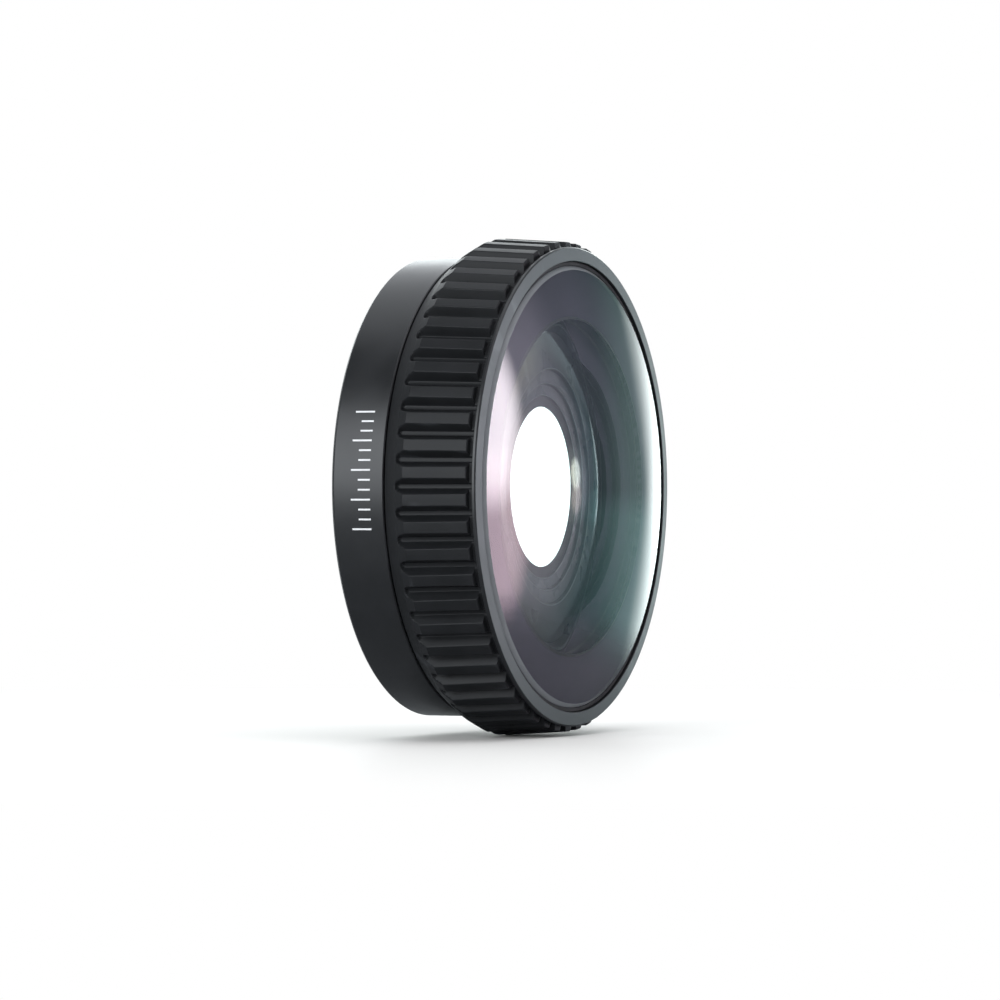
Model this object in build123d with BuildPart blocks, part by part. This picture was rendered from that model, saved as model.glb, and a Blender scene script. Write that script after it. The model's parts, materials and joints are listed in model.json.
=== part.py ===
from build123d import *

import os
from math import degrees, sqrt

# Action camera wide-angle lens: a converter that slips over a camera's round front and turns to lock.
# Units are millimetres. The optical axis lies along Y, the front glass faces -Y, and +Z is up.
# The origin is the centre of the rear seating face.
# Turned sections are drawn with x as the radius and y as the distance forward of that face.

# Camera socket: the bayonet's bore fits round the camera's front, and its lugs turn in the undercut
bayonet_bore_radius = 15.9
bayonet_thickness = 1.7
bayonet_rim = 1.75
lug_height = 0.7
undercut_length = 1.5
pilot_gap = 0.3
socket_depth = 4.6
neck_wall = 1.4
entry_count = 3
entry_angle = 25.0
lock_angle = 60.0

# Front glass
front_glass_inset = 0.95
front_glass_edge = 2.73
front_glass_centre = 1.2
front_dome_curve = 110.0
bowl_rim_width = 5.25
dome_bevel = 0.35
rear_bevel = 0.25

# Rear glass, a cemented pair
rear_glass_radius = 10.75
crown_front_curve = 45.0
cement_curve = 90.0
crown_edge = 0.35
pair_edge = 2.05

# Stepped light baffle in front of the stop: each bore's margin round it, and how far forward its edge is
stop_overlap = 2.5
baffle_margins = [1.05, 2.15, 3.45]
baffle_edges = [0.45, 1.25, 2.15]
baffle_slope = 0.22
baffle_length = 3.56
mask_thickness = 0.15
mask_margin = 0.2

# Barrel
barrel_wall = 0.85
barrel_floor = 0.98
cell_wall = 1.3
stop_lip = 0.25
recess_wall = 1.0
recess_depth = 1.4

# Base ring that stays still against the camera
base_length = 5.2
base_wall = 1.4
base_edge_break = 0.1
base_rear_break = 0.25
shoulder_length = 2.4
washer_pocket_wall = 1.2

# Grip ring with its ribs
flare_length = 1.6
flare_rise = 1.2
rib_ramp_length = 0.95
rib_count = 58
groove_depth = 0.9
groove_floor_width = 0.42
groove_flank_angle = 30.0
groove_end_setback = 0.4
grip_wall = 0.82
grip_flange = 0.9
grip_flange_width = 2.0
rib_taper = 0.4
rib_front_break = 0.08
rib_front_setback = 0.3
rib_front_step = 0.2

# Bezel and the seal inside it
rim_thickness = 0.35
rim_cone = 0.12
rim_edge_break = 0.12
glass_recess = 0.18
seal_width = 0.4
seal_length = 1.65
seal_rise = 0.05

# Small parts
gasket_width = 0.7
gasket_thickness = 0.6
gasket_edge = 0.3
retainer_thickness = 0.55
retainer_wall = 0.4
spanner_slot_width = 1.0
spanner_slot_depth = 0.3
stop_pin_radius = 0.45
stop_pin_reach = 1.3
stop_pin_seat = 1.6
drive_pin_count = 3
drive_pin_radius = 0.4
drive_pin_seat = 0.6
drive_pin_angle = 30.0
screw_count = 3
screw_radius = 0.5
screw_length = 2.6
screw_head_radius = 0.85
screw_head_height = 0.5
screw_head_inset = 0.05
screw_slot_width = 0.25
screw_slot_depth = 0.2
o_ring_section = 0.3
o_ring_inset = 0.4
washer_thickness = 0.2
washer_waves = 3
washer_margin = 0.2

# White index marks set into the base ring
mark_count = 13
mark_pitch = 2.4
mark_width = 0.16
mark_length = 1.2
long_mark_length = 1.9
long_mark_step = 3
mark_depth = 0.08
mark_inset = 1.3
mark_tilt = 4.0

# Clearances
seam_gap = 0.12
running_gap = 0.05
thread_gap = 0.03
glass_gap = 0.05
side_gap = 0.15
seat_gap = 0.05
pin_gap = 0.02


def sag(curve, radius):
    """Depth of a spherical surface of this curve at this radius."""
    return curve - sqrt(curve**2 - radius**2)


# Radii that follow from the sizes above
undercut_radius = bayonet_bore_radius + lug_height
pilot_radius = bayonet_bore_radius + pilot_gap
neck_radius = undercut_radius + neck_wall
neck_bore = neck_radius + running_gap
bayonet_radius = neck_radius + bayonet_rim
base_recess_radius = bayonet_radius + side_gap
base_radius = base_recess_radius + base_wall
washer_pocket_radius = base_radius - washer_pocket_wall
grip_flange_radius = base_radius - grip_flange_width
front_glass_radius = base_radius - front_glass_inset
bowl_mouth_radius = front_glass_radius - bowl_rim_width
barrel_bore = front_glass_radius + glass_gap
barrel_radius = barrel_bore + barrel_wall
grip_bore = barrel_radius + thread_gap
groove_floor_radius = grip_bore + grip_wall
grip_radius = groove_floor_radius + groove_depth
rib_front_radius = groove_floor_radius - rib_front_step
flare_radius = base_radius + flare_rise
bezel_bore = barrel_bore + seal_width
bezel_skirt_radius = grip_bore - thread_gap
cell_bore = rear_glass_radius + glass_gap
cell_radius = cell_bore + cell_wall
stop_radius = rear_glass_radius - stop_overlap
baffle_bores = [stop_radius + margin for margin in baffle_margins]
recess_inner_radius = cell_radius + recess_wall
recess_outer_radius = neck_radius - recess_wall
stop_pin_circle = (neck_bore + base_recess_radius) / 2
screw_circle = (undercut_radius + neck_radius) / 2
drive_pin_circle = (grip_flange_radius + barrel_radius) / 2
o_ring_circle = neck_bore - pin_gap - o_ring_section
gasket_outer = base_radius - gasket_edge
gasket_inner = gasket_outer - gasket_width

# Distances forward of the rear seating face
undercut_front = bayonet_thickness + undercut_length
shoulder_rear = bayonet_thickness + side_gap
shoulder_front = shoulder_rear + shoulder_length
o_ring_place = shoulder_front - o_ring_inset
grip_rear = base_length + seam_gap
flange_front = grip_rear + grip_flange
cup_floor = flange_front + barrel_floor
pair_rear = socket_depth + retainer_thickness
pair_front = pair_rear + pair_edge
crown_vertex = pair_front + sag(crown_front_curve, rear_glass_radius)
cement_edge = pair_front - crown_edge
cement_vertex = cement_edge - sag(cement_curve, rear_glass_radius)
stop_rear = crown_vertex - sag(crown_front_curve, stop_radius) + seat_gap
stop_front = stop_rear + stop_lip
baffle_front = stop_front + baffle_length
glass_rear = baffle_front + mask_thickness
glass_edge_front = glass_rear + front_glass_edge
bezel_front = glass_edge_front + glass_recess
rim_rear = bezel_front - rim_thickness
grip_front = rim_rear - seat_gap
seal_front = glass_edge_front + seal_rise
seal_rear = seal_front - seal_length
flare_front = grip_rear + flare_length
rib_top_rear = flare_front + rib_ramp_length
rib_front = grip_front - rib_front_setback
screw_hole_depth = screw_head_inset + screw_length - bayonet_thickness + seat_gap
dome_edge_radius = front_glass_radius - dome_bevel
dome_edge = glass_edge_front + dome_bevel
dome_vertex = dome_edge + sag(front_dome_curve, dome_edge_radius)
bowl_edge = glass_rear + rear_bevel
bowl_vertex = dome_vertex - front_glass_centre
bowl_depth = bowl_vertex - bowl_edge
bowl_curve = (bowl_mouth_radius**2 + bowl_depth**2) / (2 * bowl_depth)

section = Plane(origin=(0, 0, 0), x_dir=(1, 0, 0), z_dir=(0, 0, -1))
front_view = Plane.XZ
from_rear = (Align.CENTER, Align.CENTER, Align.MIN)


def turned(points):
    """Turn a closed outline of (radius, forward) points about the optical axis."""
    with BuildSketch(section) as outline:
        with BuildLine():
            Polyline(*points, close=True)
        make_face()
    return revolve(outline.sketch, axis=Axis.Y)


def ring_sector(inner, outer, start, sweep):
    """Add the part of a flat ring between two radii, from a start angle, to the current sketch."""
    with BuildLine() as edge:
        far = CenterArc((0, 0), outer, start, sweep)
        near = CenterArc((0, 0), inner, start, sweep)
        Line(far @ 0, near @ 0)
        Line(far @ 1, near @ 1)
    make_face(edge.edges())


# Index marks: short and long bars, flush with the base ring where the camera's user lines it up
mark_front = base_length - mark_inset
first_mark = 180 - mark_tilt - mark_pitch * (mark_count - 1) / 2

with BuildPart(front_view) as index_marks:
    for index in range(mark_count):
        bar_length = mark_length if index % long_mark_step else long_mark_length
        with PolarLocations(base_radius, 1, start_angle=first_mark + index * mark_pitch):
            with Locations((0, 0, mark_front - bar_length)):
                Box(2 * mark_depth, mark_width, bar_length, align=from_rear)
    with BuildSketch(front_view):
        Circle(base_radius)
        Circle(base_radius - mark_depth, mode=Mode.SUBTRACT)
    extrude(amount=base_length, mode=Mode.INTERSECT)

# Base ring: a sleeve with a shoulder for the barrel's neck and a pocket for the wave washer
with BuildPart() as base_ring:
    turned(
        [
            (base_recess_radius, 0),
            (gasket_inner, 0),
            (gasket_inner, gasket_thickness),
            (gasket_outer, gasket_thickness),
            (gasket_outer, 0),
            (base_radius - base_rear_break, 0),
            (base_radius, base_rear_break),
            (base_radius, base_length - base_edge_break),
            (base_radius - base_edge_break, base_length),
            (washer_pocket_radius, base_length),
            (washer_pocket_radius, shoulder_front),
            (neck_bore, shoulder_front),
            (neck_bore, shoulder_rear),
            (base_recess_radius, shoulder_rear),
        ]
    )
    with BuildSketch(front_view.offset(shoulder_rear)):
        with PolarLocations(stop_pin_circle, 1, start_angle=90):
            Circle(stop_pin_radius + pin_gap)
    extrude(amount=stop_pin_seat, mode=Mode.SUBTRACT)
    add(index_marks.part, mode=Mode.SUBTRACT)

# Rear gasket that the base ring presses on the camera with
with BuildPart() as rear_gasket:
    turned(
        [
            (gasket_inner + pin_gap, 0),
            (gasket_outer - pin_gap, 0),
            (gasket_outer - pin_gap, gasket_thickness),
            (gasket_inner + pin_gap, gasket_thickness),
        ]
    )

# Stop pin, pressed into the shoulder, which ends the turn in the bayonet ring's slot
with BuildPart(front_view.offset(shoulder_rear - stop_pin_reach)) as stop_pin:
    with PolarLocations(stop_pin_circle, 1, start_angle=90):
        Cylinder(stop_pin_radius, stop_pin_reach + stop_pin_seat, align=from_rear)

# Wave washer that takes up the play between base ring and grip ring
washer_inner = neck_bore + washer_margin
washer_outer = washer_pocket_radius - washer_margin
washer_swing = (grip_rear - running_gap - washer_thickness - shoulder_front) / 2
washer_points = 8 * washer_waves


def wave(radius):
    """Closed wavy line about the optical axis, lying between the shoulder and the grip ring."""
    points = []
    for index in range(washer_points):
        around = Vector(radius, 0, 0).rotate(Axis.Y, 360 * index / washer_points)
        height = shoulder_front + washer_swing * (1 + Vector(1, 0).rotate(Axis.Z, 45 * index).X)
        points.append((around.X, -height, around.Z))
    return Edge.make_spline(points, periodic=True)


washer_face = Face.make_surface_from_curves(wave(washer_inner), wave(washer_outer))
with BuildPart() as wave_washer:
    extrude(washer_face, amount=washer_thickness, dir=(0, -1, 0))

# Lens barrel: rear socket and neck, flange for the grip ring, front cup and the cell of the rear glass
with BuildPart() as lens_barrel:
    turned(
        [
            (undercut_radius, bayonet_thickness),
            (neck_radius, bayonet_thickness),
            (neck_radius, o_ring_place - o_ring_section),
            (o_ring_circle - o_ring_section, o_ring_place - o_ring_section),
            (o_ring_circle - o_ring_section, o_ring_place + o_ring_section),
            (neck_radius, o_ring_place + o_ring_section),
            (neck_radius, flange_front),
            (barrel_radius, flange_front),
            (barrel_radius, seal_rear),
            (barrel_bore, seal_rear),
            (barrel_bore, cup_floor),
            (recess_outer_radius, cup_floor),
            (recess_outer_radius, cup_floor - recess_depth),
            (recess_inner_radius, cup_floor - recess_depth),
            (recess_inner_radius, cup_floor),
            (cell_radius, cup_floor),
            (cell_radius, stop_front),
            (stop_radius, stop_front),
            (stop_radius, stop_rear),
            (cell_bore, stop_rear),
            (cell_bore, socket_depth),
            (pilot_radius, socket_depth),
            (pilot_radius, undercut_front),
            (undercut_radius, undercut_front),
        ]
    )
    with BuildSketch(front_view.offset(bayonet_thickness)):
        with PolarLocations(screw_circle, screw_count):
            Circle(screw_radius + thread_gap)
    extrude(amount=screw_hole_depth, mode=Mode.SUBTRACT)
    with BuildSketch(front_view.offset(flange_front)):
        with PolarLocations(drive_pin_circle, drive_pin_count, start_angle=drive_pin_angle):
            Circle(drive_pin_radius + pin_gap)
    extrude(amount=drive_pin_seat, mode=Mode.SUBTRACT)

# Friction ring of rubber in the neck's groove, which keeps the turn stiff and dust out
with BuildPart() as friction_ring:
    with BuildSketch(section):
        with Locations((o_ring_circle, o_ring_place)):
            Circle(o_ring_section)
    revolve(axis=Axis.Y)

# Bayonet ring with its entry slots, screw holes and the slot for the stop pin
stop_slot_inner = stop_pin_circle - stop_pin_radius - side_gap
stop_slot_margin = degrees((stop_pin_radius + side_gap) / stop_pin_circle)

with BuildPart() as bayonet_ring:
    turned(
        [
            (bayonet_bore_radius, 0),
            (bayonet_radius, 0),
            (bayonet_radius, bayonet_thickness),
            (bayonet_bore_radius, bayonet_thickness),
        ]
    )
    with BuildSketch(front_view):
        for index in range(entry_count):
            middle = 180 + 360 * index / entry_count
            ring_sector(bayonet_bore_radius / 2, undercut_radius, middle - entry_angle / 2, entry_angle)
        ring_sector(
            stop_slot_inner,
            base_radius,
            90 - stop_slot_margin,
            lock_angle + 2 * stop_slot_margin,
        )
    extrude(amount=bayonet_thickness, mode=Mode.SUBTRACT)
    with BuildSketch(front_view):
        with PolarLocations(screw_circle, screw_count):
            Circle(screw_radius + thread_gap)
    extrude(amount=bayonet_thickness, mode=Mode.SUBTRACT)
    with BuildSketch(front_view):
        with PolarLocations(screw_circle, screw_count):
            Circle(screw_head_radius + seat_gap)
    extrude(amount=screw_head_inset + screw_head_height, mode=Mode.SUBTRACT)

# Three small screws that hold the bayonet ring on the barrel's neck
with BuildPart(front_view.offset(screw_head_inset)) as bayonet_screws:
    with PolarLocations(screw_circle, screw_count):
        Cylinder(screw_radius, screw_length, align=from_rear)
        Cylinder(screw_head_radius, screw_head_height, align=from_rear)
        Box(2 * screw_head_radius, screw_slot_width, screw_slot_depth, align=from_rear, mode=Mode.SUBTRACT)

# Grip ring: flared collar at the rear, a flange inside it, and long ribs between milled grooves
# whose floors fall towards the front as the tops of the ribs do
groove_rear = flare_front + groove_end_setback
groove_length = grip_front - groove_rear
groove_plane = Plane(
    origin=(groove_floor_radius, 0, groove_rear),
    x_dir=(-rib_taper, 0, groove_length),
    z_dir=(groove_length, 0, rib_taper),
)

with BuildPart() as groove_cutter:
    with BuildSketch(groove_plane):
        Circle(groove_floor_width / 2)
        Rectangle(groove_length + groove_depth, groove_floor_width, align=(Align.MIN, Align.CENTER))
    extrude(amount=groove_depth + side_gap, taper=-groove_flank_angle)

with BuildPart(front_view) as grip_ring:
    turned(
        [
            (grip_flange_radius, grip_rear),
            (base_radius - base_edge_break, grip_rear),
            (base_radius, grip_rear + base_edge_break),
            (flare_radius, flare_front),
            (grip_radius, rib_top_rear),
            (grip_radius - rib_taper, rib_front - rib_front_break),
            (grip_radius - rib_taper - rib_front_break, rib_front),
            (rib_front_radius, rib_front),
            (rib_front_radius, grip_front),
            (grip_bore, grip_front),
            (grip_bore, flange_front),
            (grip_flange_radius, flange_front),
        ]
    )
    with BuildSketch(front_view.offset(flange_front - drive_pin_seat)):
        with PolarLocations(drive_pin_circle, drive_pin_count, start_angle=drive_pin_angle):
            Circle(drive_pin_radius + pin_gap)
    extrude(amount=drive_pin_seat, mode=Mode.SUBTRACT)
    with PolarLocations(0, rib_count):
        add(groove_cutter.part, mode=Mode.SUBTRACT)

# Drive pins that make the grip ring and the barrel turn as one
with BuildPart(front_view.offset(flange_front - drive_pin_seat)) as drive_pins:
    with PolarLocations(drive_pin_circle, drive_pin_count, start_angle=drive_pin_angle):
        Cylinder(drive_pin_radius, 2 * drive_pin_seat, align=from_rear)

# Bezel: a rim over the front of the grip ring, on a skirt that screws into it
with BuildPart() as front_bezel:
    turned(
        [
            (bezel_bore, seal_rear),
            (bezel_skirt_radius, seal_rear),
            (bezel_skirt_radius, rim_rear),
            (groove_floor_radius, rim_rear),
            (groove_floor_radius, bezel_front - rim_edge_break),
            (groove_floor_radius - rim_edge_break, bezel_front),
            (bezel_bore, bezel_front + rim_cone),
        ]
    )

# Seal squeezed between the bezel's bore and the edge of the front glass
with BuildPart() as front_seal:
    turned(
        [
            (front_glass_radius, seal_rear),
            (bezel_bore, seal_rear),
            (bezel_bore, seal_front),
            (front_glass_radius, seal_front),
        ]
    )

# Mask, a thin black washer behind the flat rim of the front glass
with BuildPart() as glass_mask:
    turned(
        [
            (bowl_mouth_radius + mask_margin, baffle_front),
            (front_glass_radius - mask_margin, baffle_front),
            (front_glass_radius - mask_margin, glass_rear),
            (bowl_mouth_radius + mask_margin, glass_rear),
        ]
    )

# Stepped baffle, which also spaces the front glass from the barrel's floor
with BuildPart() as light_baffle:
    steps = [(baffle_bores[0], stop_front + seat_gap)]
    for bore, edge_height, next_bore in zip(baffle_bores, baffle_edges, baffle_bores[1:] + [bowl_mouth_radius]):
        steps.append((bore, stop_front + edge_height))
        steps.append((next_bore, stop_front + edge_height + baffle_slope))
    turned(
        steps
        + [
            (bowl_mouth_radius, baffle_front),
            (front_glass_radius - glass_gap, baffle_front),
            (front_glass_radius - glass_gap, cup_floor),
            (cell_radius + seat_gap, cup_floor),
            (cell_radius + seat_gap, stop_front + seat_gap),
        ]
    )

# Front glass: a low dome outside and a deeper bowl inside
with BuildPart() as front_glass:
    with BuildSketch(section):
        with BuildLine():
            ThreePointArc(
                (0, bowl_vertex),
                (bowl_mouth_radius / 2, bowl_vertex - sag(bowl_curve, bowl_mouth_radius / 2)),
                (bowl_mouth_radius, bowl_edge),
            )
            Polyline(
                (bowl_mouth_radius, bowl_edge),
                (bowl_mouth_radius + rear_bevel, glass_rear),
                (front_glass_radius - rear_bevel, glass_rear),
                (front_glass_radius, bowl_edge),
                (front_glass_radius, glass_edge_front),
                (dome_edge_radius, dome_edge),
            )
            ThreePointArc(
                (dome_edge_radius, dome_edge),
                (dome_edge_radius / 2, dome_vertex - sag(front_dome_curve, dome_edge_radius / 2)),
                (0, dome_vertex),
            )
            Line((0, dome_vertex), (0, bowl_vertex))
        make_face()
    revolve(axis=Axis.Y)

# Rear glass: a crown in front, cemented to a flint behind
cement_middle = (rear_glass_radius / 2, cement_vertex + sag(cement_curve, rear_glass_radius / 2))
crown_middle = (rear_glass_radius / 2, crown_vertex - sag(crown_front_curve, rear_glass_radius / 2))

with BuildPart() as crown_glass:
    with BuildSketch(section):
        with BuildLine():
            ThreePointArc((0, cement_vertex), cement_middle, (rear_glass_radius, cement_edge))
            Line((rear_glass_radius, cement_edge), (rear_glass_radius, pair_front))
            ThreePointArc((rear_glass_radius, pair_front), crown_middle, (0, crown_vertex))
            Line((0, crown_vertex), (0, cement_vertex))
        make_face()
    revolve(axis=Axis.Y)

with BuildPart() as flint_glass:
    with BuildSketch(section):
        with BuildLine():
            ThreePointArc((0, cement_vertex), cement_middle, (rear_glass_radius, cement_edge))
            Polyline(
                (rear_glass_radius, cement_edge),
                (rear_glass_radius, pair_rear),
                (0, pair_rear),
                (0, cement_vertex),
            )
        make_face()
    revolve(axis=Axis.Y)

# Rear retainer: a threaded ring with two slots for a spanner
with BuildPart() as rear_retainer:
    turned(
        [
            (cell_bore - retainer_wall, socket_depth),
            (cell_bore - thread_gap, socket_depth),
            (cell_bore - thread_gap, pair_rear),
            (cell_bore - retainer_wall, pair_rear),
        ]
    )
    with BuildSketch(front_view.offset(socket_depth)):
        Rectangle(2 * cell_radius, spanner_slot_width)
    extrude(amount=spanner_slot_depth, mode=Mode.SUBTRACT)

pieces = {
    "base_ring": base_ring,
    "index_marks": index_marks,
    "rear_gasket": rear_gasket,
    "stop_pin": stop_pin,
    "wave_washer": wave_washer,
    "lens_barrel": lens_barrel,
    "friction_ring": friction_ring,
    "bayonet_ring": bayonet_ring,
    "bayonet_screws": bayonet_screws,
    "grip_ring": grip_ring,
    "drive_pins": drive_pins,
    "front_bezel": front_bezel,
    "front_seal": front_seal,
    "glass_mask": glass_mask,
    "light_baffle": light_baffle,
    "front_glass": front_glass,
    "crown_glass": crown_glass,
    "flint_glass": flint_glass,
    "rear_retainer": rear_retainer,
}

os.makedirs("parts", exist_ok=True)
for name, piece in pieces.items():
    piece.part.label = name
    export_step(piece.part, f"parts/{name}.step")
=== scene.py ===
import json
from collections import namedtuple
from math import asin, atan2, cos, hypot, pi, radians, sin, sqrt, tan

import bpy
import numpy as np
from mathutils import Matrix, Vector


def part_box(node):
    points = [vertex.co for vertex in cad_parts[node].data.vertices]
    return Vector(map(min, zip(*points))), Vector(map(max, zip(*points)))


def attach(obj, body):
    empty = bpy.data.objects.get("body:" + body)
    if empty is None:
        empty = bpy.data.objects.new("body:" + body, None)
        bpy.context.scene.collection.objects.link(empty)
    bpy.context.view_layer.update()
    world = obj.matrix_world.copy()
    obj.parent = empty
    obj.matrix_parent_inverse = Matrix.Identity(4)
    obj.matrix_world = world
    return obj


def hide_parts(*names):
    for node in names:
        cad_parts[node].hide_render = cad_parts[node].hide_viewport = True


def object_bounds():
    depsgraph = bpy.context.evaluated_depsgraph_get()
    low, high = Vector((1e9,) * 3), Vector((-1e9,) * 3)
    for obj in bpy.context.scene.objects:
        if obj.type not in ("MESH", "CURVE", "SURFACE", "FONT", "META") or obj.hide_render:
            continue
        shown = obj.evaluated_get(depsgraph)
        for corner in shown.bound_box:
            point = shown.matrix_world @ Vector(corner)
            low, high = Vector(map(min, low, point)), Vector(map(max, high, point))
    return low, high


# Action camera wide-angle lens. Outlines are drawn in millimetres as (radius, distance forward of the rear
# face) and turned about the optical axis, which lies along Y. The front glass faces -Y, and +Z is up.

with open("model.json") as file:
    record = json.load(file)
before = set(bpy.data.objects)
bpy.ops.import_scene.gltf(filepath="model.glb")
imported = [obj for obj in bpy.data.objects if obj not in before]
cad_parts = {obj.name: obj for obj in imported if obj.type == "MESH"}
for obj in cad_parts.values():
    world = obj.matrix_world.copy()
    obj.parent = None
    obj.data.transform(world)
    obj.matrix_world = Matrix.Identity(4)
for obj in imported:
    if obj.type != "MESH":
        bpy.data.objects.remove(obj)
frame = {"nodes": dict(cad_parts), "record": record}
cad_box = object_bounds()

MM = 0.001
TINY = 1e-6
Span = namedtuple("Span", "radius rear front")


def span(node):
    """Outer radius of a CAD node and how far its rear and its front are from the rear seating face."""
    low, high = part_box(node)
    return Span(max(high.x, high.z) / MM, -high.y / MM, -low.y / MM)


base = span("base_ring")
grip = span("grip_ring")
barrel = span("lens_barrel")
bezel = span("front_bezel")
seal = span("front_seal")
glass = span("front_glass")
baffle = span("light_baffle")
crown = span("crown_glass")
flint = span("flint_glass")

# Roundings of edges, and the arcs that draw them
sharp = 0.02
crisp = 0.03
eased = 0.04
bezel_round = 0.05
soft = 0.06
full = 0.12
base_rear_round = 0.2
corner_steps = 4
corner_rows = corner_steps + 1

# Columns round the axis and steps along a spherical surface
around = 288
front_around = 384
rear_glass_around = 192
sphere_steps = 40

# Base ring
base_edge_break = 0.1
base_rear_break = 0.25
base_recess_radius = base.radius - 1.4
gasket_outer = base.radius - 0.3
gasket_inner = gasket_outer - 0.7
gasket_thickness = 0.6
washer_pocket_radius = base.radius - 1.2
neck_radius = 18.0
neck_bore = neck_radius + 0.05
shoulder_rear = 1.85
shoulder_front = 4.25

# Index marks, with angles in degrees
mark_count = 13
mark_pitch = 2.4
marks_middle = 176.0
mark_width = 0.16
mark_length = 1.2
long_mark_length = 1.9
long_mark_step = 3
mark_front = base.front - 1.3
mark_paint = 0.012
mark_steps = 4

# Grip ring
flare_radius = base.radius + 1.2
flare_front = grip.rear + 1.6
rib_top_rear = flare_front + 0.95
rib_count = 58
groove_depth = 0.9
groove_floor_radius = grip.radius - groove_depth
groove_floor_width = 0.42
groove_floor_blend = 0.06
groove_flank_angle = 30
groove_rear = flare_front + 0.4
rib_edge_blend = 0.09
rib_taper = 0.4
rib_front_break = 0.08
rib_front = grip.front - 0.3
rib_front_radius = groove_floor_radius - 0.2
grip_bore = barrel.radius + 0.03
grip_flange_radius = base.radius - 2.0
grip_flange_front = grip.rear + 0.9
fine_pitch = 0.05
fine_rows_front = rib_top_rear + 0.5
coarse_rows = 7

# Bezel, seal and glasses
rim_thickness = 0.35
rim_cone = 0.12
rim_break = 0.12
bezel_front = bezel.front - rim_cone
glass_edge_front = glass.rear + 2.73
bowl_mouth_radius = glass.radius - 5.25
dome_curve = 110.0
dome_bevel = 0.35
rear_bevel = 0.25
mask_gap = 0.005
glass_centre = 1.2
crown_front_curve = 45.0
cement_curve = 90.0
cement_setback = 0.35
cement_gap = 0.004

# Stop and stepped baffle
stop_radius = crown.radius - 2.5
stop_thickness = 0.25
seat_gap = 0.05
baffle_rear_bore = crown.radius + 1.4
baffle_margins = [1.05, 2.15, 3.45]
baffle_edges = [0.45, 1.25, 2.15]
baffle_slope = 0.22
baffle_edge_round = 0.12


# Outlines: closed runs of (radius, forward, normal outwards, normal forwards), with the metal on the left


def sag(curve, radius):
    """Depth of a spherical surface of this curve at this radius."""
    return curve - sqrt(curve**2 - radius**2)


stop_front = crown.front - sag(crown_front_curve, stop_radius) + seat_gap + stop_thickness


def rounded(corners):
    """A closed outline from (radius, forward, rounding) corners. Every corner gets a small arc."""
    outline = []
    count = len(corners)
    for index, (r, f, rounding) in enumerate(corners):
        before, after = corners[index - 1], corners[(index + 1) % count]
        come = Vector((r - before[0], f - before[1])).normalized()
        go = Vector((after[0] - r, after[1] - f)).normalized()
        start = Vector((come.y, -come.x))
        turn = atan2(come.x * go.y - come.y * go.x, come.dot(go))
        side = 1 if turn > 0 else -1
        setback = rounding * tan(abs(turn) / 2)
        centre = Vector((r, f)) - come * setback - start * rounding * side
        for step in range(corner_rows):
            angle = turn * (step / corner_steps)
            normal = Vector(
                (start.x * cos(angle) - start.y * sin(angle), start.x * sin(angle) + start.y * cos(angle))
            )
            point = centre + normal * rounding * side
            outline.append((point.x, point.y, normal.x, normal.y))
    return outline


def straight(start, end):
    """An outline's run from one point to another."""
    go = Vector((end[0] - start[0], end[1] - start[1])).normalized()
    return [(*start, go.y, -go.x), (*end, go.y, -go.x)]


def sphere(vertex, curve, start, end, faces_front, bulges_front=True):
    """A run along a spherical surface between two radii, facing the front or the rear. It bulges or dips."""
    facing = 1 if faces_front else -1
    bulge = 1 if bulges_front else -1
    run = []
    for step in range(sphere_steps + 1):
        r = start + (end - start) * step / sphere_steps
        slope = bulge * asin(r / curve)
        run.append((r, vertex - bulge * sag(curve, r), facing * sin(slope), facing * cos(slope)))
    return run


def spun(outwards, forwards, angles):
    """Rings about the optical axis, a row of points each, from columns of sizes outwards and forwards."""
    forwards = np.repeat(-forwards, len(angles), 1)
    return np.stack([outwards * np.cos(angles), forwards, outwards * np.sin(angles)], 2)


def placed(name, data):
    """An object in the scene for a mesh or a camera."""
    made = bpy.data.objects.new(name, data)
    bpy.context.scene.collection.objects.link(made)
    return made


def mesh_piece(name, corners, normals, finish_rows=None):
    """A closed shell from rows of corners in millimetres, each row one turn about the optical axis."""
    rows, columns, _ = corners.shape
    faces, finishes = [], []
    for row in range(rows):
        following = (row + 1) % rows
        if np.abs(corners[row] - corners[following]).max() < TINY:
            continue
        if max(hypot(*corners[row, 0, ::2]), hypot(*corners[following, 0, ::2])) < TINY:
            continue
        here, there = row * columns, following * columns
        for column in range(columns):
            right = (column + 1) % columns
            faces.append([here + column, here + right, there + right, there + column])
            finishes.append(finish_rows[row] if finish_rows else 0)
    mesh = bpy.data.meshes.new(name)
    mesh.from_pydata((corners * MM).reshape(-1, 3).tolist(), [], faces)
    mesh.polygons.foreach_set("use_smooth", np.ones(len(faces), bool))
    mesh.polygons.foreach_set("material_index", finishes)
    mesh.normals_split_custom_set_from_vertices(normals.reshape(-1, 3).tolist())
    mesh.update()
    return placed(name, mesh)


def turned(name, outline, columns=around, finish_rows=None):
    """An outline turned about the optical axis. Each of its rows may have the number of its own finish."""
    rows = np.array(outline)
    angles = np.arange(columns) * 2 * pi / columns
    corners = spun(rows[:, 0:1], rows[:, 1:2], angles)
    normals = spun(rows[:, 2:3], rows[:, 3:4], angles)
    return mesh_piece(name, corners, normals, finish_rows)


def turned_runs(name, runs, columns):
    """A turned piece from the runs of its outline, each with the number of its finish."""
    outline = [point for run, _ in runs for point in run]
    finish_rows = [number for run, number in runs for _ in run]
    return turned(name, outline, columns, finish_rows)


def dress(piece, body, slot, finish, *nodes):
    """Sets a piece on its body with its finish or finishes, in the place of CAD nodes."""
    for entry in finish if isinstance(finish, list) else [finish]:
        piece.data.materials.append(entry)
    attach(piece, body)
    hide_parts(*nodes)
    return piece


# Shader nodes


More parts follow.
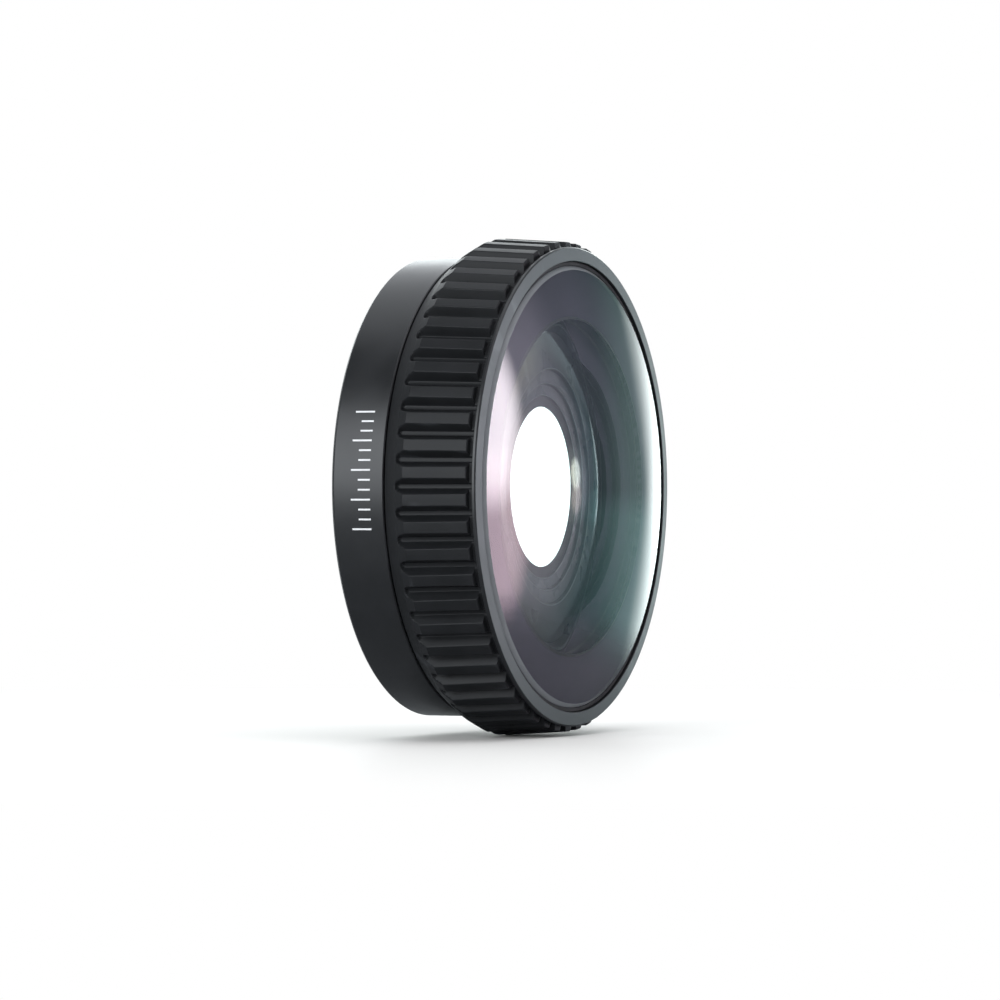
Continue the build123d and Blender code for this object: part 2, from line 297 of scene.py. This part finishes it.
def add_node(tree, kind, inputs=None, **settings):
    """A shader node. An input's value may be another node's output, which is linked."""
    made = tree.nodes.new(kind)
    for key, value in settings.items():
        setattr(made, key, value)
    for key, value in (inputs or {}).items():
        if isinstance(value, bpy.types.NodeSocket):
            tree.links.new(value, made.inputs[key])
        else:
            made.inputs[key].default_value = value
    return made


def new_material(name, **values):
    """A material, its node tree and its Principled shader, whose uniform values are set directly."""
    made = bpy.data.materials.new(name)
    made.use_nodes = True
    shader = made.node_tree.nodes["Principled BSDF"]
    for key, value in values.items():
        shader.inputs[key.replace("_", " ").title().replace("Ior", "IOR")].default_value = value
    return made, made.node_tree, shader


def noise(tree, scale, detail=2.0):
    """Noise in the frame's own metres. Scale is in features a metre."""
    place = add_node(tree, "ShaderNodeTexCoord").outputs["Object"]
    return add_node(
        tree,
        "ShaderNodeTexNoise",
        {"Vector": place, "Scale": scale, "Detail": detail},
    ).outputs["Fac"]


def ranged(tree, value, low, high, start=0.3, end=0.7):
    """A value mapped from start..end to low..high."""
    return add_node(
        tree,
        "ShaderNodeMapRange",
        {"Value": value, "From Min": start, "From Max": end, "To Min": low, "To Max": high},
    ).outputs["Result"]


def smooth(tree, value, start, end):
    """A share that rises smoothly from 0 at start to 1 at end."""
    return add_node(
        tree,
        "ShaderNodeMapRange",
        {"Value": value, "From Min": start, "From Max": end},
        interpolation_type="SMOOTHSTEP",
    ).outputs["Result"]


def maths(tree, operation, first, second):
    """What an operation makes of two values."""
    return add_node(tree, "ShaderNodeMath", {0: first, 1: second}, operation=operation).outputs[0]


def vector_maths(tree, operation, inputs):
    """What an operation makes of vectors."""
    return add_node(tree, "ShaderNodeVectorMath", inputs, operation=operation).outputs["Vector"]


def mixed(tree, share, first, second):
    """A shader between two, by share."""
    return add_node(tree, "ShaderNodeMixShader", {0: share, 1: first, 2: second}).outputs[0]


def tinted(tree, share, first, second):
    """A colour between two, by share. Each is three numbers or another node's output."""
    inputs = {"Factor": share}
    for side, colour in (("A", first), ("B", second)):
        inputs[side] = colour if isinstance(colour, bpy.types.NodeSocket) else (*colour, 1)
    return add_node(tree, "ShaderNodeMix", inputs, data_type="RGBA").outputs["Result"]


def bumped(tree, shader, height, distance):
    """Fine relief on a shader, its depth in millimetres."""
    inputs = {"Height": height, "Strength": 1.0, "Distance": distance * MM}
    bump = add_node(tree, "ShaderNodeBump", inputs)
    tree.links.new(bump.outputs["Normal"], shader.inputs["Normal"])


def drifting(tree, shader, cloud, dark, pale, rough_low, rough_high):
    """Colour and gloss that drift a little over the surface with a cloud of noise."""
    tree.links.new(tinted(tree, ranged(tree, cloud, 0, 1), dark, pale), shader.inputs["Base Color"])
    tree.links.new(ranged(tree, cloud, rough_low, rough_high), shader.inputs["Roughness"])


# Finishes: colours, the least and the most roughness, and the relief's scale and depth

cloud_detail = 3
plastic_index = 1.5
front_glass_index = 1.6
rear_glass_index = 1.5
film_index = 1.38
# How much paler convex edges are drawn: partly wear, partly a painted highlight along the edges.
wear_and_glint_share = 0.35
wear_and_glint_from, wear_and_glint_to = 0.52, 0.62
anodised_dark = (0.009, 0.0097, 0.0105)
anodised_pale = (0.013, 0.0137, 0.015)


def satin(name, dark, pale, rough_low, rough_high, grain, metal=0.0, wear_and_glint=3.0, shine=0.5):
    """Satin metal or plastic: fine grain, uneven gloss, and convex edges drawn paler, partly as wear and
    partly as a painted highlight along the edges.
    """
    made, tree, shader = new_material(name, metallic=metal, ior=plastic_index, specular_ior_level=shine)
    cloud = noise(tree, 260, cloud_detail)
    # Convex edges are drawn paler: partly wear, partly a painted highlight along the edges.
    edge = add_node(tree, "ShaderNodeNewGeometry").outputs["Pointiness"]
    worn_and_glinting = ranged(tree, edge, 0.0, wear_and_glint_share, wear_and_glint_from, wear_and_glint_to)
    fresh = tinted(tree, ranged(tree, cloud, 0, 1), dark, pale)
    worn_and_glinting_colour = [min(1, wear_and_glint * value) for value in pale]
    tree.links.new(tinted(tree, worn_and_glinting, fresh, worn_and_glinting_colour), shader.inputs["Base Color"])
    tree.links.new(ranged(tree, cloud, rough_low, rough_high), shader.inputs["Roughness"])
    bumped(tree, shader, noise(tree, 16000), grain)
    return made


def matt(name, dark, pale, rough_low, rough_high, scale, depth):
    """Moulded plastic, rubber or paint with a fine matt texture."""
    made, tree, shader = new_material(name, ior=plastic_index)
    drifting(tree, shader, noise(tree, 300, cloud_detail), dark, pale, rough_low, rough_high)
    bumped(tree, shader, noise(tree, scale), depth)
    return made


def coated(name, colour, index, film=0.0):
    """Polished glass. A coating tints its reflections where the film's thickness is given, in nanometres."""
    made, tree, shader = new_material(
        name, ior=index, transmission_weight=1.0, thin_film_thickness=film, thin_film_ior=film_index
    )
    cloud = noise(tree, 200, cloud_detail)
    drifting(tree, shader, cloud, colour, [0.97 * value for value in colour], 0.0, 0.006)
    return made


def black_aluminium():
    return satin("black_aluminium", anodised_dark, anodised_pale, 0.28, 0.34, 0.003)


def rib_aluminium():
    """The ribs' black, which shines less than the base ring's."""
    return satin("black_aluminium_ribs", anodised_dark, anodised_pale, 0.40, 0.48, 0.004, shine=0.2)


def bezel_aluminium():
    """Grey-black metal on the bezel's face."""
    dark, pale = (0.13, 0.148, 0.145), (0.14, 0.16, 0.156)
    return satin("bezel_aluminium", dark, pale, 0.40, 0.48, 0.002, metal=0.7, wear_and_glint=1.5)


def black_plastic():
    return matt("black_plastic", (0.010, 0.010, 0.011), (0.014, 0.014, 0.015), 0.45, 0.6, 9000, 0.0004)


def baffle_plastic_and_sheen():
    """The baffle's steps: black plastic drawn in a teal grey far paler than black, a painted reflection of
    the light that reaches them through the coated glass.
    """
    return satin("baffle_steps_plastic_and_sheen", (0.052, 0.062, 0.072), (0.065, 0.077, 0.088), 0.26, 0.32, 0.001)


def baffle_edge_highlight():
    """A painted highlight: the baffle's rounded edges drawn in a pale grey, for the light they catch."""
    return matt("baffle_edges_painted_highlight", (0.2, 0.235, 0.24), (0.24, 0.28, 0.285), 0.3, 0.4, 9000, 0.0004)


def black_rubber():
    return matt("black_rubber", (0.010, 0.010, 0.010), (0.016, 0.016, 0.016), 0.55, 0.7, 6000, 0.006)


def white_paint():
    return matt("white_marks", (0.7, 0.7, 0.7), (0.78, 0.78, 0.78), 0.45, 0.6, 9000, 0.003)


def edge_paint_and_sheen():
    """Black paint on the rim and the cylinder of the glasses. Its purple-grey is far paler than black paint:
    partly the paint, partly a painted sheen for the light that reaches the rim through the glass.
    """
    return matt("edge_paint_and_sheen", (0.15, 0.134, 0.185), (0.16, 0.144, 0.195), 0.5, 0.6, 5000, 0.0002)


def ground_glass():
    """The glass's bevels, ground and left unpainted, which look pale."""
    return matt("ground_glass", (0.2, 0.21, 0.22), (0.24, 0.25, 0.26), 0.34, 0.42, 5000, 0.0002)


def brushed_steel():
    made, tree, shader = new_material("steel", metallic=1.0)
    drifting(tree, shader, noise(tree, 900, 4), (0.5, 0.5, 0.51), (0.6, 0.6, 0.61), 0.22, 0.4)
    bumped(tree, shader, noise(tree, 9000), 0.003)
    return made


def clear_glass():
    return coated("coated_glass", (0.95, 0.96, 0.97), front_glass_index)


def bowl_glass():
    """The front glass's hollow rear face, which carries the coating."""
    return coated("coated_glass_bowl", (0.88, 0.96, 0.94), front_glass_index, film=380.0)


def rear_glass():
    return coated("coated_glass_rear", (0.96, 0.97, 0.96), rear_glass_index, film=391.0)


# Pieces


def make_base_ring(finish):
    outline = rounded(
        [
            (base_recess_radius, 0, eased),
            (gasket_inner, 0, eased),
            (gasket_inner, gasket_thickness, sharp),
            (gasket_outer, gasket_thickness, sharp),
            (gasket_outer, 0, sharp),
            (base.radius - base_rear_break, 0, sharp),
            (base.radius, base_rear_break, base_rear_round),
            (base.radius, base.front - base_edge_break, soft),
            (base.radius - base_edge_break, base.front, soft),
            (washer_pocket_radius, base.front, eased),
            (washer_pocket_radius, shoulder_front, eased),
            (neck_bore, shoulder_front, eased),
            (neck_bore, shoulder_rear, eased),
            (base_recess_radius, shoulder_rear, eased),
        ]
    )
    return dress(turned("base_sleeve", outline), "base", "black_aluminium", finish, "base_ring")


def make_marks(finish):
    """Painted index bars on the base ring, as thin curved plates on its side."""
    half = mark_width / 2 / base.radius
    corners, faces = [], []
    for index in range(mark_count):
        length = mark_length if index % long_mark_step else long_mark_length
        middle = radians(marks_middle + mark_pitch * (index - (mark_count - 1) / 2))
        first = len(corners)
        for step in range(mark_steps + 1):
            angle = middle + half * (2 * step / mark_steps - 1)
            for radius in (base.radius - mark_paint, base.radius + mark_paint):
                for forward in (mark_front - length, mark_front):
                    corners.append((radius * cos(angle) * MM, -forward * MM, radius * sin(angle) * MM))
        for step in range(mark_steps):
            a, b = first + 4 * step, first + 4 * step + 4
            faces += [(a + 2, a + 3, b + 3, b + 2), (a, b, b + 1, a + 1)]
            faces += [(a, a + 2, b + 2, b), (a + 1, b + 1, b + 3, a + 3)]
        last = first + 4 * mark_steps
        faces += [(first, first + 1, first + 3, first + 2), (last, last + 2, last + 3, last + 1)]
    mesh = bpy.data.meshes.new("index_bars")
    mesh.from_pydata(corners, [], faces)
    mesh.update()
    return dress(placed("index_bars", mesh), "base", "white_marks", finish, "index_marks")


def blend_low(first, second, width):
    """The lower of two surfaces, rounded where they meet."""
    apart = np.abs(first - second)
    return np.minimum(first, second) - np.where(apart < width, (width - apart) ** 2 / (4 * width), 0)


def groove_height(sideways, forward):
    """Radius of the groove surface at a distance beside the middle of a groove."""
    blend = groove_floor_blend
    behind = np.maximum(groove_rear - forward, 0)
    beyond = np.hypot(sideways, behind) - groove_floor_width / 2
    rise = np.where(beyond < -blend, 0, (beyond + blend) ** 2 / (4 * blend))
    rise = np.where(beyond > blend, beyond, rise)
    fall = rib_taper * (forward - groove_rear) / (grip.front - groove_rear)
    return groove_floor_radius - fall + rise / tan(radians(groove_flank_angle))


def groove_normals(offset, forward):
    """Normals of the groove surface (outwards, sideways, forwards) at angles from the middle of a groove."""
    small = 1e-4
    sideways = np.abs(offset) * grip.radius
    ahead, behind = groove_height(sideways, forward + small), groove_height(sideways, forward - small)
    along = (ahead - behind) / (2 * small)
    right = groove_height(np.abs(offset + small) * grip.radius, forward)
    left = groove_height(np.abs(offset - small) * grip.radius, forward)
    across = (right - left) / (2 * small * grip.radius)
    normals = np.stack([np.ones_like(along), -across, -along], 2)
    return normals / np.linalg.norm(normals, axis=2, keepdims=True)


def grip_columns():
    """Angles of the mesh's columns: close together on the groove's floor edges and at the rib's edges."""
    half_pitch = pi / rib_count
    half_floor = groove_floor_width / 2 / grip.radius
    half_top = (groove_floor_width / 2 + groove_depth * tan(radians(groove_flank_angle))) / grip.radius
    step = fine_pitch / grip.radius
    flank = half_top - half_floor - 2.2 * step
    half = [0, half_floor - step, half_floor, half_floor + step]
    half += [half_floor + step + flank * share for share in (0.25, 0.5, 0.75, 1)]
    half += [half_top - 0.5 * step, half_top, half_top + 0.5 * step, half_top + 1.3 * step, half_pitch]
    pitch = sorted(set([-value for value in half[1:-1]] + half))
    return np.array([rib * 2 * pi / rib_count + value for rib in range(rib_count) for value in pitch])


def grip_rows():
    """The outline round the ribs' tops, with rows added where the groove's round rear end needs them."""
    outline = rounded(
        [
            (grip_bore, grip.front, crisp),
            (grip_bore, grip_flange_front, crisp),
            (grip_flange_radius, grip_flange_front, crisp),
            (grip_flange_radius, grip.rear, crisp),
            (base.radius - base_edge_break, grip.rear, eased),
            (base.radius, grip.rear + base_edge_break, soft),
            (flare_radius, flare_front, full),
            (grip.radius, rib_top_rear, full),
            (grip.radius - rib_taper, rib_front - rib_front_break, eased),
            (grip.radius - rib_taper - rib_front_break, rib_front, eased),
            (rib_front_radius, rib_front, eased),
            (rib_front_radius, grip.front, crisp),
        ]
    )
    rows = []
    for here, there in zip(outline, outline[1:] + outline[:1]):
        rows.append(here)
        long = hypot(there[0] - here[0], there[1] - here[1]) > fine_pitch
        outside = min(here[0], there[0]) > base.radius - 0.01
        if long and outside and here[1] < there[1]:
            stops = np.arange(here[1] + fine_pitch, min(there[1], fine_rows_front), fine_pitch).tolist()
            if there[1] > fine_rows_front:
                stops += np.linspace(max(fine_rows_front, here[1]), there[1], coarse_rows + 1)[:-1].tolist()
            for forward in stops:
                share = (forward - here[1]) / (there[1] - here[1])
                rows.append(tuple(a + (b - a) * share for a, b in zip(here, there)))
    return np.array(rows)


def make_grip_ring(finish):
    """The ribbed ring: an outline turned about the axis, and lowered to the groove surface."""
    rows = grip_rows()
    angles = grip_columns()
    pitch_angle = 2 * pi / rib_count
    offset = ((angles + pitch_angle / 2) % pitch_angle - pitch_angle / 2)[None, :]
    plain, forward = rows[:, 0:1], rows[:, 1:2]
    ribbed = plain > rib_front_radius - TINY
    height = groove_height(np.abs(offset) * grip.radius, forward)
    radius = np.where(ribbed, blend_low(plain, height, rib_edge_blend), plain)

    # normals go over from the outline's own to the groove's where the two surfaces meet
    plain_normals = np.zeros((*radius.shape, 3))
    plain_normals[..., 0] = rows[:, 2:3]
    plain_normals[..., 2] = rows[:, 3:4]
    share = (np.clip((plain - height) / (2 * rib_edge_blend) + 0.5, 0, 1) * ribbed)[..., None]
    local = plain_normals * (1 - share) + groove_normals(offset, forward) * share
    local /= np.linalg.norm(local, axis=2, keepdims=True)
    outward, sideways, ahead = local[..., 0], local[..., 1], local[..., 2]
    normals = np.stack(
        [
            outward * np.cos(angles) - sideways * np.sin(angles),
            -ahead,
            outward * np.sin(angles) + sideways * np.cos(angles),
        ],
        2,
    )
    piece = mesh_piece("ribbed_ring", spun(radius, forward, angles), normals)
    return dress(piece, "lens_unit", "black_aluminium", finish, "grip_ring")


def make_bezel(face, side):
    """The rim round the glass. Its last rounded corner begins the front face, which has its own finish."""
    bore = seal.radius
    outline = rounded(
        [
            (bore, bezel_front + rim_cone, soft),
            (bore, bezel.rear, crisp),
            (barrel.radius, bezel.rear, crisp),
            (barrel.radius, bezel_front - rim_thickness, crisp),
            (bezel.radius, bezel_front - rim_thickness, eased),
            (bezel.radius, bezel_front - rim_break, bezel_round),
            (bezel.radius - rim_break, bezel_front, bezel_round),
        ]
    )
    finish_rows = [1] * (len(outline) - corner_rows) + [0] * corner_rows
    piece = turned("bezel_rim", outline, front_around, finish_rows)
    return dress(piece, "lens_unit", "bezel_aluminium", [face, side], "front_bezel")


def make_seal(finish):
    inner = glass.radius
    outline = rounded(
        [
            (inner, seal.rear, crisp),
            (seal.radius, seal.rear, crisp),
            (seal.radius, seal.front, full),
            (inner, seal.front, full),
        ]
    )
    piece = turned("glass_seal", outline, front_around)
    return dress(piece, "lens_unit", "black_rubber", finish, "front_seal")


def make_baffle(finish, edges):
    """The stepped baffle behind the front glass. Its rounded edges have a finish of their own, a pale painted
    highlight.
    """
    corners = [(stop_radius + baffle_margins[0], stop_front + seat_gap, crisp)]
    bores = [stop_radius + margin for margin in baffle_margins]
    for bore, edge_height, next_bore in zip(bores, baffle_edges, bores[1:] + [bowl_mouth_radius]):
        corners.append((bore, stop_front + edge_height, baffle_edge_round))
        corners.append((next_bore, stop_front + edge_height + baffle_slope, eased))
    corners += [
        (bowl_mouth_radius, baffle.front, baffle_edge_round),
        (baffle.radius, baffle.front, eased),
        (baffle.radius, baffle.rear, eased),
        (baffle_rear_bore, baffle.rear, eased),
        (baffle_rear_bore, stop_front + seat_gap, crisp),
    ]
    corners.reverse()
    finish_rows = []
    for _, _, rounding in corners:
        finish_rows += [int(rounding == baffle_edge_round)] * corner_steps + [0]
    piece = turned("stepped_baffle", rounded(corners), around, finish_rows)
    return dress(piece, "lens_unit", "black_plastic", [finish, edges], "light_baffle")


def make_front_glass(dome_finish, bowl_finish, ground, paint):
    """The front glass. Its flat rim and cylinder are painted black, in paint drawn pale as a painted sheen,
    and its bevels are left ground.
    """
    on_dome, on_bowl, on_bevel, on_painted = range(4)
    dome_edge_radius = glass.radius - dome_bevel
    dome_edge = glass_edge_front + dome_bevel
    dome_vertex = dome_edge + sag(dome_curve, dome_edge_radius)
    bowl_edge = glass.rear + rear_bevel
    bowl_vertex = dome_vertex - glass_centre
    bowl_depth = bowl_vertex - bowl_edge
    bowl_curve = (bowl_mouth_radius**2 + bowl_depth**2) / (2 * bowl_depth)
    mouth = bowl_mouth_radius + rear_bevel
    flat_end = glass.radius - rear_bevel
    flat = glass.rear + mask_gap
    runs = [
        (sphere(bowl_vertex, bowl_curve, 0, bowl_mouth_radius, False), on_bowl),
        (straight((bowl_mouth_radius, bowl_edge), (mouth, flat)), on_bevel),
        (straight((mouth, flat), (flat_end, flat)), on_painted),
        (straight((flat_end, flat), (glass.radius, bowl_edge)), on_bevel),
        (straight((glass.radius, bowl_edge), (glass.radius, glass_edge_front)), on_painted),
        (straight((glass.radius, glass_edge_front), (dome_edge_radius, dome_edge)), on_bevel),
        (sphere(dome_vertex, dome_curve, dome_edge_radius, 0, True), on_dome),
    ]
    piece = turned_runs("domed_glass", runs, front_around)
    return dress(piece, "lens_unit", "coated_glass", [dome_finish, bowl_finish, ground, paint], "front_glass")


def make_rear_glass(finish, paint):
    """The cemented pair behind the stop, painted black round its edge, in paint drawn pale as a painted
    sheen.
    """
    clear, painted = range(2)
    edge_front = crown.front - sag(crown_front_curve, crown.radius)
    cement_edge = edge_front - cement_setback
    cement_vertex = cement_edge - sag(cement_curve, crown.radius)
    crown_runs = [
        (sphere(cement_vertex, cement_curve, 0, crown.radius, False, bulges_front=False), clear),
        (straight((crown.radius, cement_edge), (crown.radius, edge_front)), painted),
        (sphere(crown.front, crown_front_curve, crown.radius, 0, True), clear),
    ]
    flint_runs = [
        (straight((0, flint.rear), (flint.radius, flint.rear)), clear),
        (straight((flint.radius, flint.rear), (flint.radius, cement_edge - cement_gap)), painted),
        (sphere(cement_vertex - cement_gap, cement_curve, flint.radius, 0, True, bulges_front=False), clear),
    ]
    pair = (("rear_crown", "crown_glass", crown_runs), ("rear_flint", "flint_glass", flint_runs))
    for name, node, runs in pair:
        piece = turned_runs(name, runs, rear_glass_around)
        dress(piece, "lens_unit", "coated_glass", [finish, paint], node)


def dress_frame(finishes):
    """Gives every CAD node its slot's finish, which shows on those that no piece replaces."""
    for entry in frame["record"]["subparts"]:
        node = frame["nodes"].get(entry["node"])
        node.data.materials.clear()
        node.data.materials.append(finishes[entry["material_slot"]])


# Floor: sizes in metres, and its colours to the object, to the camera and in mirrored light
floor_half = 0.6
floor_fade_start = 0.05
floor_fade_end = 0.14
floor_bounced = (0.8, 0.8, 0.8)
floor_seen = (0.95, 0.93, 0.88)
floor_mirrored = (0.22, 0.23, 0.24)
floor_gloss_share = 0.08
floor_gloss_roughness = 0.3


def floor_finish():
    """Pale and faintly glossy near the object. Further out it is white to the camera and clear in mirrors."""
    made = bpy.data.materials.new("floor")
    made.use_nodes = True
    tree = made.node_tree
    tree.nodes.clear()
    rays = add_node(tree, "ShaderNodeLightPath").outputs
    camera_ray, glossy_ray = rays["Is Camera Ray"], rays["Is Glossy Ray"]
    through = maths(tree, "MAXIMUM", camera_ray, rays["Is Transmission Ray"])
    seen = maths(tree, "MAXIMUM", through, glossy_ray)
    place = add_node(tree, "ShaderNodeTexCoord").outputs["Object"]
    distance = add_node(tree, "ShaderNodeVectorMath", {0: place}, operation="LENGTH").outputs["Value"]
    far = smooth(tree, distance, floor_fade_start, floor_fade_end)
    pale = tinted(tree, through, floor_bounced, floor_seen)
    colour = tinted(tree, glossy_ray, pale, floor_mirrored)
    flat = add_node(tree, "ShaderNodeBsdfDiffuse", {"Color": colour}).outputs[0]
    gloss = add_node(tree, "ShaderNodeBsdfGlossy", {"Roughness": floor_gloss_roughness}).outputs[0]
    white = add_node(tree, "ShaderNodeEmission", {"Strength": 1.0}).outputs[0]
    clear = add_node(tree, "ShaderNodeBsdfTransparent").outputs[0]
    near_floor = mixed(tree, floor_gloss_share, flat, gloss)
    beyond = mixed(tree, camera_ray, clear, white)
    surface = add_node(tree, "ShaderNodeOutputMaterial").inputs["Surface"]
    tree.links.new(mixed(tree, maths(tree, "MULTIPLY", far, seen), near_floor, beyond), surface)
    return made


def add_floor():
    """A pale floor that keeps the object's shadow, and ends in white."""
    level = cad_box[0][2]
    corners = [(-1, -1), (1, -1), (1, 1), (-1, 1)]
    mesh = bpy.data.meshes.new("floor")
    mesh.from_pydata([(x * floor_half, y * floor_half, level) for x, y in corners], [], [(0, 1, 2, 3)])
    mesh.materials.append(floor_finish())
    floor = placed("floor", mesh)
    return floor


# World light round the object: direction, angles where it is full and gone, and colour
tent_light = [
    ((0.9107, 0.4131, 0.0), 24, 34, (2.6, 2.8, 2.8)),
    ((0.45, 0.35, 0.82), 18, 50, (1.05, 1.1, 1.15)),
    ((0.8, 0.35, 0.5), 10, 35, (0.3, 0.3, 0.32)),
    ((-0.93, 0.2, 0.26), 12, 32, (4.3, 4.5, 4.7)),
    ((0.05, 1.0, 0.05), 8, 28, (0.7, 0.74, 0.78)),
    ((0.985, 0.04, 0.17), 8, 15, (2.0, 2.08, 2.08)),
    ((0.985, 0.04, -0.17), 8, 15, (2.0, 2.08, 2.08)),
    ((0.995, -0.05, 0.0), 6, 20, (0.28, 0.36, 0.36)),
    ((-0.985, -0.17, 0.05), 5, 13, (3.5, 3.7, 3.8)),
    ((0.711, -0.699, 0.078), 2, 6.6, (8.6, 7.8, 8.3)),
    ((0.724, -0.687, -0.061), 2.5, 7, (3.2, 2.2, 2.5)),
    ((0.719, -0.695, 0.0), 6, 18, (0.9, 0.82, 1.0)),
    ((0.77, -0.6, 0.21), 8, 26, (0.2, 0.15, 0.22)),
    ((0.9107, -0.4131, 0.0), 15, 45, (0.03, 0.12, 0.115)),
    ((-0.38, -0.92, -0.05), 20, 55, (0.42, 0.43, 0.45)),
    ((-0.1, -0.35, 0.93), 15, 40, (1.6, 1.6, 1.7)),
]
tent_fill = (0.045, 0.048, 0.055)
ground_light = ((1.0, 0.25, -0.1), 20, 50, (0.12, 0.26, 0.25))
horizon_blend = 0.02


def lobe(tree, place, direction, inner, outer, colour):
    """World light round a fixed direction, full within one angle and gone at another, in degrees."""
    axis = Vector(direction).normalized()
    towards = add_node(tree, "ShaderNodeVectorMath", {0: place, 1: axis}, operation="DOT_PRODUCT")
    share = smooth(tree, towards.outputs["Value"], cos(radians(outer)), cos(radians(inner)))
    return vector_maths(tree, "SCALE", {0: colour, "Scale": share})


def add_world():
    """White to the camera. To the object it is a dim tent with lit patches, over a faintly lit ground."""
    world = bpy.data.worlds.new("studio")
    bpy.context.scene.world = world
    world.use_nodes = True
    tree = world.node_tree
    tree.nodes.clear()
    place = add_node(tree, "ShaderNodeTexCoord").outputs["Generated"]
    height = add_node(tree, "ShaderNodeSeparateXYZ", {0: place}).outputs["Z"]
    below = ranged(tree, height, 1.0, 0.0, -horizon_blend, 0.0)
    ground = vector_maths(tree, "SCALE", {0: lobe(tree, place, *ground_light), "Scale": below})
    light = vector_maths(tree, "ADD", {0: ground, 1: tent_fill})
    for entry in tent_light:
        light = vector_maths(tree, "ADD", {0: lobe(tree, place, *entry), 1: light})
    tent = add_node(tree, "ShaderNodeBackground", {"Color": light}).outputs[0]
    white = add_node(tree, "ShaderNodeBackground", {"Color": (1, 1, 1, 1)}).outputs[0]
    camera_ray = add_node(tree, "ShaderNodeLightPath").outputs["Is Camera Ray"]
    surface = add_node(tree, "ShaderNodeOutputWorld").inputs["Surface"]
    tree.links.new(mixed(tree, camera_ray, tent, white), surface)


# Camera: its place in metres, the direction from the lens towards it, and its optics in millimetres
camera_place = (-0.50599, -0.23659, -0.00122)
camera_direction = (-0.9107, -0.4131, 0)
focal_length = 215.6
sensor_width = 36
clip_range = (0.01, 10)


def add_camera():
    """The photograph's view: level, forward of the front glass and further round to its side."""
    data = bpy.data.cameras.new("camera")
    data.sensor_width = sensor_width
    data.lens = focal_length
    data.clip_start, data.clip_end = clip_range
    camera = placed("camera", data)
    camera.location = camera_place
    camera.rotation_euler = Vector(camera_direction).normalized().to_track_quat("Z", "Y").to_euler()
    bpy.context.scene.camera = camera


def build():
    black, rim, plastic = black_aluminium(), bezel_aluminium(), black_plastic()
    rubber, steel, white = black_rubber(), brushed_steel(), white_paint()
    clear, paint = clear_glass(), edge_paint_and_sheen()
    dress_frame(
        {
            "black_aluminium": black,
            "bezel_aluminium": rim,
            "black_plastic": plastic,
            "black_rubber": rubber,
            "steel": steel,
            "coated_glass": clear,
            "white_marks": white,
        }
    )
    make_base_ring(black)
    make_marks(white)
    make_grip_ring(rib_aluminium())
    make_bezel(rim, black)
    make_seal(rubber)
    make_baffle(baffle_plastic_and_sheen(), baffle_edge_highlight())
    make_front_glass(clear, bowl_glass(), ground_glass(), paint)
    make_rear_glass(rear_glass(), paint)
    add_floor()
    add_world()
    add_camera()


build()
scene = bpy.context.scene
scene.view_settings.view_transform = "Standard"
